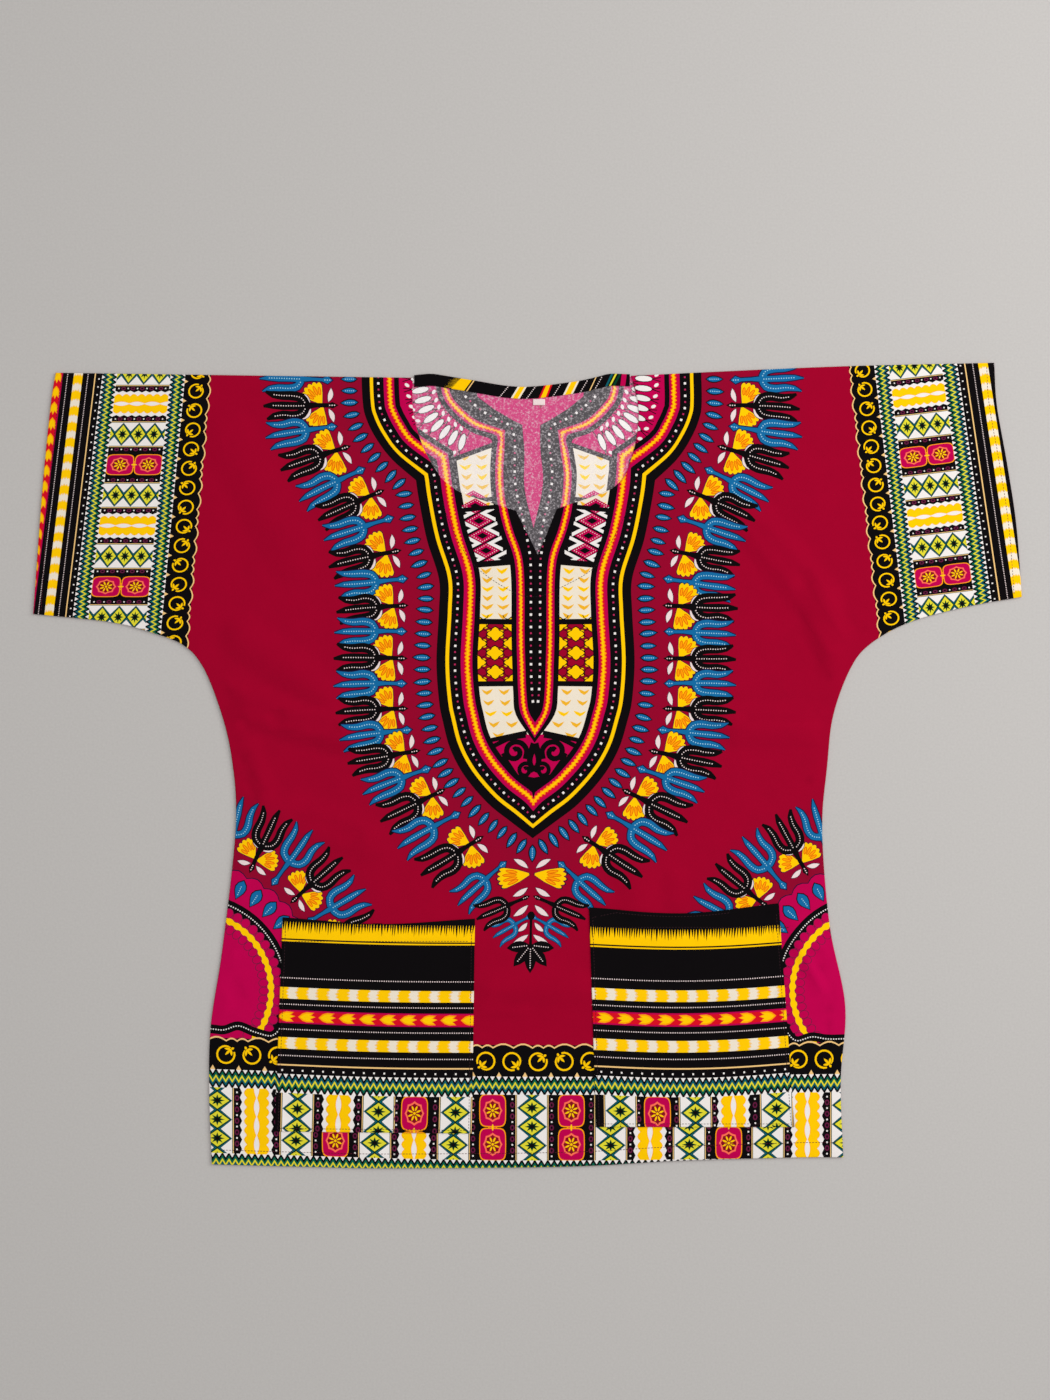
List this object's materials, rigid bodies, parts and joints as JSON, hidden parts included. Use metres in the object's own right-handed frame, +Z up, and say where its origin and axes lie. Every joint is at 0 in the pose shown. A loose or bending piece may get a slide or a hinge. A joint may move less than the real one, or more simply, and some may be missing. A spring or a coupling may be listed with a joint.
{
  "type": "dashiki shirt",
  "caption": "Short-sleeved cotton dashiki shirt laid flat, with a notched round neck and patch pockets.",
  "frame": {"origin": "centre of the bounding box in plan, on the surface that the shirt lies on", "axes": "+X along the sleeves towards the right cuff as seen from above, +Y towards the neck, +Z up from the surface"},
  "size_m": [0.988, 0.805, 0.0089],
  "materials": {
    "printed_cotton": "matt woven cotton with a bright print on crimson",
    "pocket_cotton": "matt woven cotton from the border of the same print",
    "facing_cotton": "matt woven cotton cut on the bias from the same print",
    "label_tape": "off-white woven tape"
  },
  "bodies": {
    "root": {"back": "printed_cotton", "front": "printed_cotton", "pocket_left": "pocket_cotton", "pocket_right": "pocket_cotton", "neck_facing": "facing_cotton", "size_label": "label_tape"}
  },
  "joints": []
}
